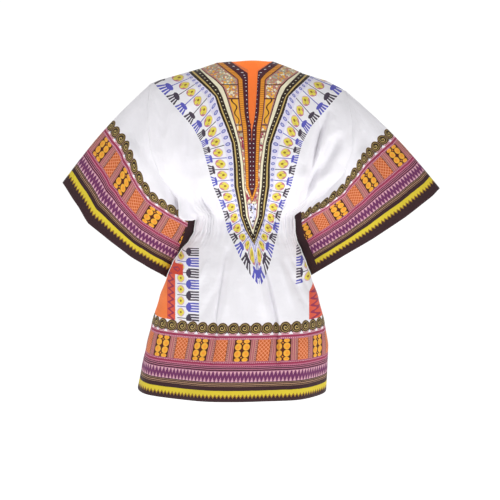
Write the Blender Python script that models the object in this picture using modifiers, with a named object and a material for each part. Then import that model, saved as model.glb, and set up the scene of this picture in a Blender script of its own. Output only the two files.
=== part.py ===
# Dashiki shirt: a woman's top with wide short sleeves, a V neck with a centre slit and a
# gathered waist, filled out as if worn. Metres, +Z up, front towards -Y, the wearer's
# right sleeve at -X. The origin lies where the wearer's shoulders carry it, between the
# two ends of the neckline.

import math
from collections import namedtuple

import bmesh
import bpy
from mathutils import Vector

MM = 0.001

# Cloth and seams
WALL = 1.3 * MM
SHOULDER_GAP = 0.48 * MM
SIDE_GAP = 0.23 * MM
ARMHOLE_GAP = 0.8 * MM
UNDERARM_GAP = 2.4 * MM
UNDERARM_SINK = 2.0 * MM
SLEEVE_CLEAR = 5.0 * MM

# Neck and slit
NECK_LEFT = -42.05
NECK_RIGHT = 50.95
NECK_HEIGHT = 2.0
SLIT_TOP = 24.0
SLIT_END = 154.0
SLIT_HALF_WIDTH = 11.0
SLIT_TAPER = 0.35
BACK_NECK_RISE = 3.2
BACK_NECK_FLATNESS = 0.7
BACK_NECK_HOLLOW = 36.0
BACK_NECK_END = 70.0

# Hem heights below the origin
HEM_LEFT = 742.0
HEM_RIGHT = 748.0
HEM_FRONT_DIP = 24.0
HEM_BACK_DIP = 16.0
HEM_ROUNDNESS = 0.6

# Armhole
UNDERARM = 353.0
TIP_LEFT = 50.0
TIP_RIGHT = 66.0
FRONT_BULGE = 60.0
BACK_BULGE = 54.0
BULGE_ROUNDNESS = 0.65

# How full the panels' sections are: 0.5 is an ellipse, 1 a parabola
SIDE_FULLNESS = 0.5
CHEST_FULLNESS = 0.85
SHOULDER_FULLNESS = 0.6
SHOULDER_REACH = 60.0
SIDE_TURN = 95.0
CHEST_END = 120.0

# Where the chest's folds come in and go out, and where the shoulder's slope is lost
CHEST_FOLD_TOP = 90.0
CHEST_FOLD_FULL = 200.0
CHEST_FOLD_END = 60.0
SLOPE_KEPT = 140.0
SLOPE_LOST = 300.0

# Waist gathers: fine vertical waves either side of the elastic
WAIST = 368.0
GATHER_WAVES = 16
GATHER_DEPTH = 1.7
GATHER_REACH = 42.0

# Sleeve
CUFF_HALF_DEPTH = 46.0
SLEEVE_CROWN = 9.0
SLEEVE_FOLD = 5.0
WHITE_SHARE = 0.433
POUCH_SHARE = 0.26
POUCH_DEPTH = 13.0
POUCH_START = 0.35
LOWER_EDGE = 0.7
SLEEVE_STEPS = (0.0, 0.1, 0.21, 0.32, 0.433, 0.56, 0.68, 0.79, 0.9, 1.0)

COLUMNS = 48
YOKE_SHARES = (0.0, 0.045, 0.13, 0.27, 0.47, 0.72, 1.0)
LOWER_ROWS = (190, 226, 258, 286, 310, 330, 344, 353, 368, 384, 402, 424, 450, 482, 522, 568, 616, 664, 706)

Edge = namedtuple("Edge", "drop left right")
Middle = namedtuple("Middle", "drop x")
Profile = namedtuple("Profile", "drop front back")
Fold = namedtuple("Fold", "across width depth lean")
Shoulder = namedtuple("Shoulder", "x height")
Bow = namedtuple("Bow", "share out")
Cuff = namedtuple("Cuff", "top_x top_drop low_x low_drop bow")
Look = namedtuple("Look", "colour roughness")

# Outline of the body seen from the front, millimetres below the origin and across.
# Down to the underarm this is the armhole seam, below it the side seam.
EDGES = (
    Edge(50, -230, 218),
    Edge(133, -232, 232),
    Edge(202, -225, 231),
    Edge(258, -206, 213),
    Edge(300, -180, 177),
    Edge(332, -148, 131),
    Edge(353, -123, 102),
    Edge(390, -128, 103),
    Edge(410, -139, 107),
    Edge(432, -158, 117),
    Edge(460, -177, 128),
    Edge(492, -190, 140),
    Edge(540, -208, 157),
    Edge(600, -226, 172),
    Edge(650, -238, 180),
    Edge(700, -249, 178),
    Edge(760, -260, 175),
)

# Middle of the front: leans a little on the way down
MIDDLE = (
    Middle(24, 6.5),
    Middle(154, 4),
    Middle(317, 2),
    Middle(410, 4),
    Middle(513, -2),
    Middle(760, -30),
)

# Depth of the chest and the back at the middle, seen from the side
PROFILES = (
    Profile(0, 0, 0),
    Profile(6, 19, 17),
    Profile(14, 34, 31),
    Profile(26, 51, 45),
    Profile(50, 70, 62),
    Profile(90, 87, 76),
    Profile(154, 102, 88),
    Profile(220, 113, 93),
    Profile(270, 113, 89),
    Profile(310, 104, 79),
    Profile(345, 88, 64),
    Profile(368, 79, 56),
    Profile(395, 80, 58),
    Profile(430, 90, 70),
    Profile(485, 103, 88),
    Profile(560, 112, 101),
    Profile(640, 118, 109),
    Profile(760, 125, 116),
)

LEFT_SHOULDER = (
    Shoulder(-42, 2),
    Shoulder(-76, -1),
    Shoulder(-113, -14),
    Shoulder(-166, -29),
    Shoulder(-212, -42),
    Shoulder(-230, -50),
)
RIGHT_SHOULDER = (
    Shoulder(51, 2),
    Shoulder(90, -12),
    Shoulder(122, -26),
    Shoulder(177, -43),
    Shoulder(205, -58),
    Shoulder(218, -66),
)

# How far the cuffs' edges swing out beyond a straight line between their corners
LEFT_BOW = (
    Bow(0, 0),
    Bow(0.19, 12),
    Bow(0.35, 25),
    Bow(0.51, 21),
    Bow(0.72, 15),
    Bow(0.85, 9),
    Bow(1, 0),
)
RIGHT_BOW = (
    Bow(0, 0),
    Bow(0.08, 5),
    Bow(0.30, 9),
    Bow(0.54, 8),
    Bow(0.78, 3),
    Bow(1, 0),
)
LEFT_CUFF = Cuff(-432, 277, -200, 495, LEFT_BOW)
RIGHT_CUFF = Cuff(437, 290, 142, 490, RIGHT_BOW)

# Skirt folds: place across as a share, width as a share, depth in mm at the hem
FRONT_FOLDS = (
    Fold(0.13, 0.07, 11, -0.05),
    Fold(0.27, 0.08, -8, 0.00),
    Fold(0.41, 0.07, 9, 0.02),
    Fold(0.60, 0.07, -7, -0.03),
    Fold(0.74, 0.06, 12, 0.07),
    Fold(0.87, 0.06, -8, 0.04),
)
BACK_FOLDS = (
    Fold(0.15, 0.07, 10, 0.03),
    Fold(0.33, 0.08, -9, 0.00),
    Fold(0.50, 0.08, 11, 0.00),
    Fold(0.68, 0.07, -8, 0.02),
    Fold(0.84, 0.07, 10, -0.04),
)

# Soft folds of the chest that run down from the shoulders
CHEST_FOLDS = (
    Fold(0.12, 0.05, 6, 0.02),
    Fold(0.30, 0.07, -4, 0.04),
    Fold(0.70, 0.07, -4, -0.04),
    Fold(0.88, 0.05, 6, -0.02),
)

COTTON = Look((0.86, 0.84, 0.88, 1.0), 0.85)


def along(rows, place, column):
    """Reads a table's column at a place, which is each row's first value."""
    if place <= rows[0][0]:
        return getattr(rows[0], column)
    for upper, lower in zip(rows, rows[1:]):
        if place <= lower[0]:
            share = (place - upper[0]) / (lower[0] - upper[0])
            return mix(getattr(upper, column), getattr(lower, column), smooth_mix(share))
    return getattr(rows[-1], column)


def mix(start, end, share):
    return start + (end - start) * share


def smooth_mix(share):
    """Nearly straight, but eased a little so that outlines have no hard corners."""
    return mix(share, share * share * (3 - 2 * share), 0.35)


def ease(low, high, value):
    share = min(max((value - low) / (high - low), 0.0), 1.0)
    return share * share * (3 - 2 * share)


def hump(place, middle, width):
    return math.exp(-(((place - middle) / width) ** 2))


def shoulder_height(x):
    """Height of the shoulder seam over x, level across the neck."""
    rows = LEFT_SHOULDER if x < 0 else RIGHT_SHOULDER
    if abs(x) <= abs(rows[0].x):
        return rows[0].height
    for inner, outer in zip(rows, rows[1:]):
        if abs(x) <= abs(outer.x):
            return mix(inner.height, outer.height, (x - inner.x) / (outer.x - inner.x))
    return rows[-1].height


def neck_arc(x):
    """An arc over the neck, 0 at its two ends and 1 in the middle."""
    share = (x - NECK_LEFT) / (NECK_RIGHT - NECK_LEFT)
    return math.sin(math.pi * min(max(share, 0.0), 1.0))


def top_height(x, front, left_half):
    """Height of a panel's upper edge: the shoulder seam, or the neckline between its ends."""
    if NECK_LEFT < x < NECK_RIGHT:
        if not front:
            return NECK_HEIGHT + BACK_NECK_RISE * neck_arc(x) ** BACK_NECK_FLATNESS
        corner = along(MIDDLE, SLIT_TOP, "x")
        if left_half:
            share = (x - NECK_LEFT) / (corner - SLIT_HALF_WIDTH - NECK_LEFT)
        else:
            share = (NECK_RIGHT - x) / (NECK_RIGHT - corner - SLIT_HALF_WIDTH)
        return mix(NECK_HEIGHT, -SLIT_TOP, min(share, 1.0) ** 1.08)
    return shoulder_height(x)


def slit_half_width(drop):
    """Half the slit's width: narrow and nearly even, closing at a point."""
    if drop >= SLIT_END:
        return 0.0
    share = (drop - SLIT_TOP) / (SLIT_END - SLIT_TOP)
    return SLIT_HALF_WIDTH * (1 - SLIT_TAPER * share) * (1 - max(share, 0.0) ** 6) ** 0.5


def across(share, drop, front):
    """X of a column at a drop, and how far it is from the side seam, 0 to 1."""
    left_half = share <= 0.5
    middle = along(MIDDLE, drop, "x")
    slit = slit_half_width(drop) if front else 0.0
    reach = share * 2 if left_half else (1 - share) * 2
    level = 1 - ease(UNDERARM - SIDE_TURN, UNDERARM, drop)
    spread = mix(1 - math.cos(math.pi * reach / 2), reach, level)
    side = along(EDGES, drop, "left" if left_half else "right")
    inner = middle - slit if left_half else middle + slit
    return mix(side, inner, spread), spread


def depth(share, spread, x, drop, front):
    """Distance of the cloth in front of, or behind, the plane of the seams."""
    column = "front" if front else "back"
    slope_fade = 1 - ease(SLOPE_KEPT, SLOPE_LOST, drop)
    below = drop + mix(NECK_HEIGHT, shoulder_height(x), slope_fade)
    if not front:
        hollow = (BACK_NECK_RISE + BACK_NECK_HOLLOW) * neck_arc(x) ** 0.8
        below += hollow * (1 - ease(-BACK_NECK_RISE, BACK_NECK_END, drop))
    fullness = mix(CHEST_FULLNESS, SIDE_FULLNESS, ease(UNDERARM - CHEST_END, UNDERARM, drop))
    fullness = mix(SHOULDER_FULLNESS, fullness, ease(0, SHOULDER_REACH, below))
    round_share = max(1 - (1 - spread) ** 2, 0.0) ** fullness
    tip = TIP_LEFT if share <= 0.5 else TIP_RIGHT
    armhole_share = min(max((drop - tip) / (UNDERARM - tip), 0.0), 1.0)
    start = min(max(below / (UNDERARM - tip), 0.0), 1.0)
    armhole_share = mix(start, armhole_share, ease(SHOULDER_REACH / 3, SHOULDER_REACH * 1.5, below))
    bulge = FRONT_BULGE if front else BACK_BULGE
    bulge *= math.sin(math.pi * armhole_share) ** BULGE_ROUNDNESS
    out = mix(bulge, along(PROFILES, below, column), round_share)
    return out + relief(share, spread, drop, front)


def relief(share, spread, drop, front):
    """Gathers at the waist, folds of the skirt and of the chest, all still at the seams."""
    still = math.sin(math.pi * share) ** 0.5 if 0 < share < 1 else 0.0
    near_waist = hump(drop, WAIST, GATHER_REACH)
    out = GATHER_DEPTH * near_waist * math.sin(2 * math.pi * GATHER_WAVES * share)
    skirt = ease(WAIST, HEM_LEFT, drop)
    for fold in FRONT_FOLDS if front else BACK_FOLDS:
        place = fold.across - fold.lean * (1 - skirt)
        out += fold.depth * skirt * still * hump(share, place, fold.width)
    chest = ease(CHEST_FOLD_TOP, CHEST_FOLD_FULL, drop)
    chest *= 1 - ease(UNDERARM - CHEST_FOLD_END, UNDERARM, drop)
    for fold in CHEST_FOLDS:
        out += fold.depth * chest * still * hump(share, fold.across + fold.lean * chest, fold.width)
    return out


def hem_drop(share, front):
    dip = HEM_FRONT_DIP if front else HEM_BACK_DIP
    bow = max(math.sin(math.pi * share), 0.0) ** HEM_ROUNDNESS
    return mix(HEM_LEFT, HEM_RIGHT, share) + dip * bow


def row_drops(share, front, left_half):
    """Drops of all the rows of one column, from its upper edge to the hem."""
    x = across(share, TIP_LEFT, front)[0]
    top = -top_height(x, front, left_half)
    drops = [mix(top, SLIT_END, part) for part in YOKE_SHARES]
    hem = hem_drop(share, front)
    give = (hem - HEM_LEFT) / (HEM_LEFT - WAIST)
    return drops + [drop + max(drop - WAIST, 0) * give for drop in LOWER_ROWS] + [hem]


def panel_point(share, row, front, left_half=True):
    """One point of the front or back panel, in metres."""
    drop = row_drops(share, front, left_half)[row]
    x, spread = across(share, drop, front)
    if share == 0.5 and not left_half:
        x = 2 * along(MIDDLE, drop, "x") - x
    out = depth(share, spread, x, drop, front)
    gap = SHOULDER_GAP / MM if row == 0 else SIDE_GAP / MM
    out = max(out, gap)
    return Vector((x, -out if front else out, -drop)) * MM


def sheet_grid(name, columns, rows):
    """A flat grid, one unit a cell, for a panel to be shaped from."""
    mesh = bpy.data.meshes.new(name)
    grid = bmesh.new()
    bmesh.ops.create_grid(grid, x_segments=columns, y_segments=rows, size=0.5)
    for vert in grid.verts:
        vert.co.x = round((vert.co.x + 0.5) * columns)
        vert.co.y = round((vert.co.y + 0.5) * rows)
    return mesh, grid


def cut_slit(grid, rows_down, middle):
    """Parts the middle column's edges above the slit's end."""
    edges = [
        edge
        for edge in grid.edges
        if all(vert.co.x == middle and vert.co.y <= rows_down for vert in edge.verts)
    ]
    bmesh.ops.split_edges(grid, edges=edges)


def make_panel(name, front):
    """Front or back: a grid whose columns run from the shoulder or neckline to the hem."""
    rows = len(YOKE_SHARES) + len(LOWER_ROWS)
    mesh, grid = sheet_grid(name, COLUMNS, rows)
    middle = COLUMNS // 2
    if front:
        cut_slit(grid, len(YOKE_SHARES) - 1, middle)
    places = {}
    for vert in grid.verts:
        column, row = int(vert.co.x), int(vert.co.y)
        left_half = column < middle or any(face_on_left(face, middle) for face in vert.link_faces)
        places[vert] = panel_point(column / COLUMNS, row, front, left_half)
    for vert, place in places.items():
        vert.co = place
    finish(mesh, grid, name, front, True)


def face_on_left(face, middle):
    return sum(vert.co.x for vert in face.verts) / len(face.verts) < middle


def finish(mesh, grid, name, flip, even):
    """Turns the faces outwards, gives the wall its thickness, and a material."""
    if flip:
        bmesh.ops.reverse_faces(grid, faces=grid.faces)
    grid.to_mesh(mesh)
    grid.free()
    piece = bpy.data.objects.new(name, mesh)
    shirt.objects.link(piece)
    wall = piece.modifiers.new("Wall", "SOLIDIFY")
    wall.thickness = WALL
    wall.offset = 0
    wall.use_even_offset = even
    mesh.shade_smooth()
    mesh.materials.append(cloth_material(name, COTTON))


def cloth_material(name, look):
    material = bpy.data.materials.new(name + "_cotton")
    material.use_nodes = True
    shader = material.node_tree.nodes["Principled BSDF"]
    shader.inputs["Base Color"].default_value = look.colour
    shader.inputs["Roughness"].default_value = look.roughness
    shader.inputs["Metallic"].default_value = 0.0
    return material


def armhole_ring(left):
    """Points round one armhole: down the front panel's edge, then up the back's.

    Each is set off from the panel's edge by the seam's gap, the way the panel runs there.
    """
    last = len(YOKE_SHARES) + LOWER_ROWS.index(int(UNDERARM))
    front = [seam_point(row, last, True, left) for row in range(last + 1)]
    back = [seam_point(row, last, False, left) for row in range(last + 1)]
    ring = [(row / last, True, front[row]) for row in range(1, last)]
    ring.append((1.0, True, (front[last] + back[last]) / 2))
    ring += [(row / last, False, back[row]) for row in range(last - 1, 0, -1)]
    ring.append((0.0, False, (front[0] + back[0]) / 2))
    return ring


def seam_point(row, last, front, left):
    edge, inner = (0.0, 1 / COLUMNS) if left else (1.0, 1 - 1 / COLUMNS)
    point = panel_point(edge, row, front, left)
    onward = (point - panel_point(inner, row, front, left)).normalized()
    low = ease(0.6, 1.0, row / last)
    point.z -= UNDERARM_SINK * low**3
    point.x += (-1 if left else 1) * UNDERARM_SINK * low**3
    return point + onward * mix(ARMHOLE_GAP, UNDERARM_GAP, low)


def around_cuff(cuff, share, front):
    """A point of the cuff's edge, share 0 at its upper corner and 1 under the arm."""
    width, height = abs(cuff.low_x - cuff.top_x), cuff.low_drop - cuff.top_drop
    bow = along(cuff.bow, share, "out") / math.hypot(width, height)
    outward = -1 if cuff.top_x < 0 else 1
    x = mix(cuff.top_x, cuff.low_x, share) + outward * bow * height
    drop = mix(cuff.top_drop, cuff.low_drop, share) + bow * width
    out = CUFF_HALF_DEPTH * max(math.sin(math.pi * share), 0.0) ** 0.75
    return Vector((x, -out if front else out, -drop)) * MM


def sleeve_share(step, share):
    """How far a ring has come: under the arm the plain cloth is short and pouched."""
    pouched = step / WHITE_SHARE * POUCH_SHARE
    if step > WHITE_SHARE:
        pouched = mix(POUCH_SHARE, 1.0, (step - WHITE_SHARE) / (1 - WHITE_SHARE))
    return mix(step, pouched, ease(POUCH_START, 0.9, share))


def sleeve_point(start, lowest, cuff, step, share, front, left):
    """One point of a sleeve, from its start on the armhole and the armhole's lowest point."""
    end = around_cuff(cuff, share, front)
    point = start.lerp(end, sleeve_share(step, share))
    chord = Vector((cuff.top_x, 0, -cuff.top_drop)).normalized()
    crown = Vector((chord.z, 0, -chord.x)) * (1 if left else -1)
    if crown.z < 0:
        crown.negate()
    rise = math.sin(math.pi * step) * (1 - ease(0.0, 0.45, share))
    point += crown * SLEEVE_CROWN * MM * rise
    side = -1 if front else 1
    body = math.sin(math.pi * share) ** 0.7 if 0 < share < 1 else 0.0
    fold = math.sin(2 * math.pi * (2.6 * share + 0.12 - 0.25 * step))
    point.y += side * SLEEVE_FOLD * MM * fold * body * math.sin(math.pi * min(step * 1.15, 1.0))
    pouch = hump(share, 0.83, 0.1) * hump(step, WHITE_SHARE * 0.62, 0.16)
    point.y += side * POUCH_DEPTH * MM * pouch
    point.x += beside_body(lowest, cuff, step, left) * ease(LOWER_EDGE, 1.0, share)
    return point


def beside_body(lowest, cuff, step, left):
    """How far the sleeve's lower edge shifts at a step to lie just outside the side seam."""
    low = lowest.lerp(around_cuff(cuff, 1.0, True), sleeve_share(step, 1.0))
    edge = along(EDGES, -low.z / MM, "left" if left else "right") * MM
    clear = edge - SLEEVE_CLEAR if left else edge + SLEEVE_CLEAR
    return (clear - low.x) * ease(0.0, SLEEVE_STEPS[1], step)


def make_sleeve(name, left):
    """A wide tube from the armhole to the cuff, a ring of points at each step."""
    ring = armhole_ring(left)
    cuff = LEFT_CUFF if left else RIGHT_CUFF
    lowest = next(start for share, front, start in ring if share == 1.0)
    steps = len(SLEEVE_STEPS) - 1
    mesh, grid = sheet_grid(name, len(ring), steps)
    places = {}
    for vert in grid.verts:
        share, front, start = ring[int(vert.co.x) % len(ring)]
        step = SLEEVE_STEPS[int(vert.co.y)]
        places[vert] = start
        if step > 0:
            places[vert] = sleeve_point(start, lowest, cuff, step, share, front, left)
    for vert, place in places.items():
        vert.co = place
    bmesh.ops.remove_doubles(grid, verts=grid.verts, dist=0.01 * MM)
    finish(mesh, grid, name, not left, False)


for old in list(bpy.data.objects):
    bpy.data.objects.remove(old, do_unlink=True)

shirt = bpy.data.collections.new("dashiki_shirt")
bpy.context.scene.collection.children.link(shirt)

make_panel("front_panel", True)
make_panel("back_panel", False)
make_sleeve("sleeve_left", True)
make_sleeve("sleeve_right", False)
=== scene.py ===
import math

import bmesh
import bpy
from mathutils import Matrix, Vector, noise


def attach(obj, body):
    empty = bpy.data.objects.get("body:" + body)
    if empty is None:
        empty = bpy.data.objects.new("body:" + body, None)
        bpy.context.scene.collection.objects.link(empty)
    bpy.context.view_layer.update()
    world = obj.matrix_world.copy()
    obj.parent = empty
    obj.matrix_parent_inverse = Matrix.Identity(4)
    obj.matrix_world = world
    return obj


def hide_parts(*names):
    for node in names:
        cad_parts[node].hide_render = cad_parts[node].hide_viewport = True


# Dashiki shirt: white cotton with a printed border, filled out with no wearer in it.
# Lengths are in millimetres until they go into a mesh. Heights are drops below the origin.

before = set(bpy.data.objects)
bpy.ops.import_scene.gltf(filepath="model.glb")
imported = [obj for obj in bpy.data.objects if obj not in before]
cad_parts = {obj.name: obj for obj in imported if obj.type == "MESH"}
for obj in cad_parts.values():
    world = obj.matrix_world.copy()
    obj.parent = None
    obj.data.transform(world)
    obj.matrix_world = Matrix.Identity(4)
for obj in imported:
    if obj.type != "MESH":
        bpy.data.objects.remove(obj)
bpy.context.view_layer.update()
mm = 0.001


def mix(start, end, share):
    return start + (end - start) * share


def ease(low, high, value):
    share = min(max((value - low) / (high - low), 0.0), 1.0)
    return share * share * (3 - 2 * share)


def hump(place, middle, width):
    return math.exp(-(((place - middle) / width) ** 2))


def readTable(rows, place, column, softness=0.35):  # the first value of a row is its place
    if place <= rows[0][0]:
        return rows[0][column]
    for upper, lower in zip(rows, rows[1:]):
        if place <= lower[0]:
            share = (place - upper[0]) / (lower[0] - upper[0])
            share = mix(share, share * share * (3 - 2 * share), softness)
            return mix(upper[column], lower[column], share)
    return rows[-1][column]


def readStraight(rows, place, column):
    return readTable(rows, place, column, 0.0)


# The body's cut and fullness, close to those of the solids
body = {
    "neckLeft": -42.05,
    "neckRight": 50.95,
    "neckHeight": 2.0,
    "neckSlope": 1.08,
    "slitTop": 24.0,
    "slitEnd": 154.0,
    "slitHalfWidth": 11.0,
    "slitTaper": 0.35,
    "backNeckRise": 9.5,
    "backNeckFlatness": 0.7,
    "backNeckHollow": 36.0,
    "hollowRoundness": 0.8,
    "backNeckEnd": 70.0,
    "hemLeft": 742.0,
    "hemRight": 748.0,
    "hemFrontDip": 24.0,
    "hemBackDip": 16.0,
    "hemRoundness": 0.6,
    "underarm": 353.0,
    "tipLeft": 50.0,
    "tipRight": 66.0,
    "frontBulge": 60.0,
    "backBulge": 54.0,
    "bulgeRoundness": 0.65,
    "sideFullness": 0.5,
    "chestFullness": 0.85,
    "shoulderFullness": 0.6,
    "shoulderReach": 60.0,
    "shoulderFade": (140, 300),
    "softReach": (60, 150),
    "softRoundness": 0.62,
    "sideTurn": 95.0,
    "seamSoftness": 0.7,
    # loose fold over the border under the left arm: place across, width, drop, height
    "pouch": (0.07, 0.04, 336, 20),
    "pouchMove": (-20, 26, 24),
    "pouchEnd": (351, 366),
    "chestEnd": 120.0,
    "chestReach": (90, 200),
    "waist": 368.0,
    "gatherDepth": 4.4,
    "gatherReach": 46.0,
    # gathers from side to side, how far they wander, and their weight
    "gathers": ((31, 2.2, 0.75), (19, -1.0, 0.35)),
    "columns": 184,
    "yokeRows": 34,
    "lowerRows": 134,
    "rowCrowding": 1.35,
    "leastDepth": 0.12,
    # slow unevenness: depth, and its pace across and down
    "unevenness": (1.6, 0.016, 0.009),
    # drop, left edge, right edge: the armhole seam, then the side seam
    "edges": (
        (50, -230, 218),
        (133, -232, 232),
        (202, -225, 231),
        (258, -206, 213),
        (300, -180, 177),
        (332, -148, 131),
        (353, -123, 102),
        (390, -128, 103),
        (410, -139, 107),
        (432, -158, 117),
        (460, -177, 128),
        (492, -190, 140),
        (540, -208, 157),
        (600, -226, 172),
        (650, -238, 180),
        (700, -249, 178),
        (760, -260, 175),
    ),
    "middle": ((24, 6.5), (154, 4), (317, 2), (410, 4), (513, -2), (760, -30)),
    # drop, depth of the front, depth of the back
    "profile": (
        (0, 0, 0),
        (6, 19, 17),
        (14, 34, 31),
        (26, 51, 45),
        (50, 70, 62),
        (90, 87, 76),
        (154, 102, 88),
        (220, 113, 93),
        (270, 113, 89),
        (310, 104, 79),
        (345, 88, 64),
        (368, 79, 56),
        (395, 80, 58),
        (430, 90, 70),
        (485, 103, 88),
        (560, 112, 101),
        (640, 118, 109),
        (760, 125, 116),
    ),
    "leftShoulder": ((42, 2), (76, -1), (113, -14), (166, -29), (212, -42), (230, -50)),
    "rightShoulder": ((51, 2), (90, -12), (122, -26), (177, -43), (205, -58), (218, -66)),
    # place across, width, depth and lean of each broad fold
    "frontFolds": (
        (0.13, 0.07, 11, -0.05),
        (0.27, 0.08, -8, 0.00),
        (0.41, 0.07, 9, 0.02),
        (0.60, 0.07, -7, -0.03),
        (0.74, 0.06, 12, 0.07),
        (0.87, 0.06, -8, 0.04),
    ),
    "backFolds": (
        (0.15, 0.07, 10, 0.03),
        (0.33, 0.08, -9, 0.00),
        (0.50, 0.08, 11, 0.00),
        (0.68, 0.07, -8, 0.02),
        (0.84, 0.07, 10, -0.04),
    ),
    "chestFolds": (
        (0.12, 0.05, 6, 0.02),
        (0.30, 0.07, -4, 0.04),
        (0.70, 0.07, -4, -0.04),
        (0.88, 0.05, 6, -0.02),
    ),
}

# The view that creases and print are placed by: a pixel in millimetres at the seams, the
# place of the origin in pixels, and the camera in front of the shirt's middle
view = {
    "pixel": 2.3,
    "across": 250,
    "down": 62,
    "distance": 3200,
    "drop": 432,
    "lens": 100.0,
}
pixel = view["pixel"]


def viewPlace(x, drop, nearness):  # pixels across and down
    level = view["drop"]
    down = view["down"] + level / pixel + (drop - level) * nearness / pixel
    return view["across"] + x * nearness / pixel, down


def nearnessAt(point, front):  # the back is printed with no perspective
    return view["distance"] / (view["distance"] + point.y) if front else 1.0


# Creases, placed where they show from the front: points in pixels of the view, then
# width in pixels and depth in millimetres, a trough below 0 and a ridge above
frontCreases = (
    (((160, 92), (154, 130), (154, 180), (160, 212)), 9.0, -4.0),
    (((166, 100), (162, 150), (163, 200)), 6.0, 4.0),
    (((190, 112), (187, 160), (190, 206)), 8.0, -13.0),
    (((199, 192), (204, 203), (211, 213)), 2.6, -11.0),
    (((197, 204), (202, 212), (210, 220)), 2.6, 5.0),
    (((352, 104), (352, 130), (348, 156)), 5.0, 6.0),
    (((362, 110), (364, 132), (366, 150)), 6.0, -5.0),
    (((329, 108), (318, 138), (309, 168)), 4.0, -12.0),
    (((338, 138), (328, 158), (316, 180)), 6.0, -17.0),
    (((322, 160), (312, 182), (303, 202)), 3.0, -13.0),
    (((303, 170), (299, 190), (297, 210)), 3.4, 5.0),
    (((323, 126), (315, 158), (306, 190)), 2.0, -9.0),
    (((331, 138), (319, 162), (310, 186)), 2.0, -8.0),
    (((318, 134), (310, 160), (303, 184)), 2.6, 3.5),
    (((227, 250), (222, 282), (217, 314), (214, 362)), 3.0, -8.0),
    (((233, 252), (229, 284), (226, 312)), 3.5, 4.0),
    (((217, 288), (208, 304), (201, 318)), 3.5, -4.0),
    (((262, 264), (269, 290), (276, 320), (278, 362)), 2.4, -9.0),
    (((257, 268), (263, 296), (268, 322)), 4.0, 5.0),
    (((286, 262), (296, 284), (306, 306)), 3.0, -6.0),
    (((281, 262), (288, 286), (297, 312)), 3.5, 4.0),
    (((292, 258), (303, 276), (311, 292)), 2.4, -4.0),
    (((243, 292), (243, 316), (241, 350)), 5.0, -4.0),
    (((206, 262), (196, 284), (188, 308)), 3.0, 4.0),
)
backCreases = (
    (((150, 96), (147, 135), (150, 185), (158, 214)), 5.0, -5.0),
    (((178, 110), (182, 160), (190, 204)), 7.0, -7.0),
    (((196, 190), (204, 206), (212, 216)), 3.0, -7.0),
    (((354, 100), (356, 135), (348, 176)), 5.0, -5.0),
    (((330, 112), (320, 150), (308, 184)), 6.0, -7.0),
    (((318, 168), (308, 190), (300, 206)), 3.0, -8.0),
    (((236, 110), (240, 150), (236, 196)), 8.0, -4.0),
    (((268, 120), (264, 160), (268, 200)), 8.0, -4.0),
    (((222, 252), (214, 284), (206, 316)), 3.2, -6.0),
    (((248, 254), (247, 290), (243, 326)), 3.0, -6.0),
    (((255, 258), (257, 290), (256, 322)), 4.0, 4.0),
    (((274, 256), (282, 286), (290, 316)), 3.0, -6.0),
    (((290, 254), (300, 276), (308, 300)), 2.6, -5.0),
    (((208, 258), (197, 282), (188, 306)), 3.0, -4.0),
)
creasing = {"strength": 1.35, "reach": 3, "roundness": 0.7}


def creaseDepth(creases, x, drop, nearness):
    across, down = viewPlace(x, drop, nearness)
    out = 0.0
    for points, width, height in creases:
        reach = width * creasing["reach"]
        if not points[0][1] - reach < down < points[-1][1] + reach:
            continue
        best, where = 1e9, 0.0
        for index, (start, end) in enumerate(zip(points, points[1:])):
            run = (end[0] - start[0], end[1] - start[1])
            along = (across - start[0]) * run[0] + (down - start[1]) * run[1]
            share = min(max(along / (run[0] ** 2 + run[1] ** 2), 0.0), 1.0)
            gap = math.hypot(across - start[0] - run[0] * share, down - start[1] - run[1] * share)
            if gap < best:
                best, where = gap, (index + share) / (len(points) - 1)
        if best < reach:
            full = math.sin(math.pi * mix(0.08, 0.92, where)) ** creasing["roundness"]
            out += creasing["strength"] * height * math.exp(-((best / width) ** 2)) * full
    return out


def shoulderHeight(x):
    rows = body["leftShoulder"] if x < 0 else body["rightShoulder"]
    return readStraight(rows, abs(x), 1)


def neckArc(x):
    share = (x - body["neckLeft"]) / (body["neckRight"] - body["neckLeft"])
    return math.sin(math.pi * min(max(share, 0.0), 1.0))


def topHeight(x, front, leftHalf):
    if not body["neckLeft"] < x < body["neckRight"]:
        return shoulderHeight(x)
    if not front:
        return body["neckHeight"] + body["backNeckRise"] * neckArc(x) ** body["backNeckFlatness"]
    corner = readTable(body["middle"], body["slitTop"], 1)
    if leftHalf:
        share = (x - body["neckLeft"]) / (corner - body["slitHalfWidth"] - body["neckLeft"])
    else:
        share = (body["neckRight"] - x) / (body["neckRight"] - corner - body["slitHalfWidth"])
    return mix(body["neckHeight"], -body["slitTop"], min(share, 1.0) ** body["neckSlope"])


def slitHalf(drop):
    if drop >= body["slitEnd"]:
        return 0.0
    share = (drop - body["slitTop"]) / (body["slitEnd"] - body["slitTop"])
    return body["slitHalfWidth"] * (1 - body["slitTaper"] * share) * (1 - max(share, 0.0) ** 6) ** 0.5


def acrossBody(share, drop, front):  # x, and how far in from the side seam
    leftHalf = share <= 0.5
    middle = readTable(body["middle"], drop, 1)
    slit = slitHalf(drop) if front else 0.0
    reach = share * 2 if leftHalf else (1 - share) * 2
    level = 1 - ease(body["underarm"] - body["sideTurn"], body["underarm"], drop)
    spread = mix(1 - math.cos(math.pi * reach / 2), reach, level)
    side = readTable(body["edges"], drop, 1 if leftHalf else 2)
    inner = middle - slit if leftHalf else middle + slit
    return mix(side, inner, spread), spread


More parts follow.
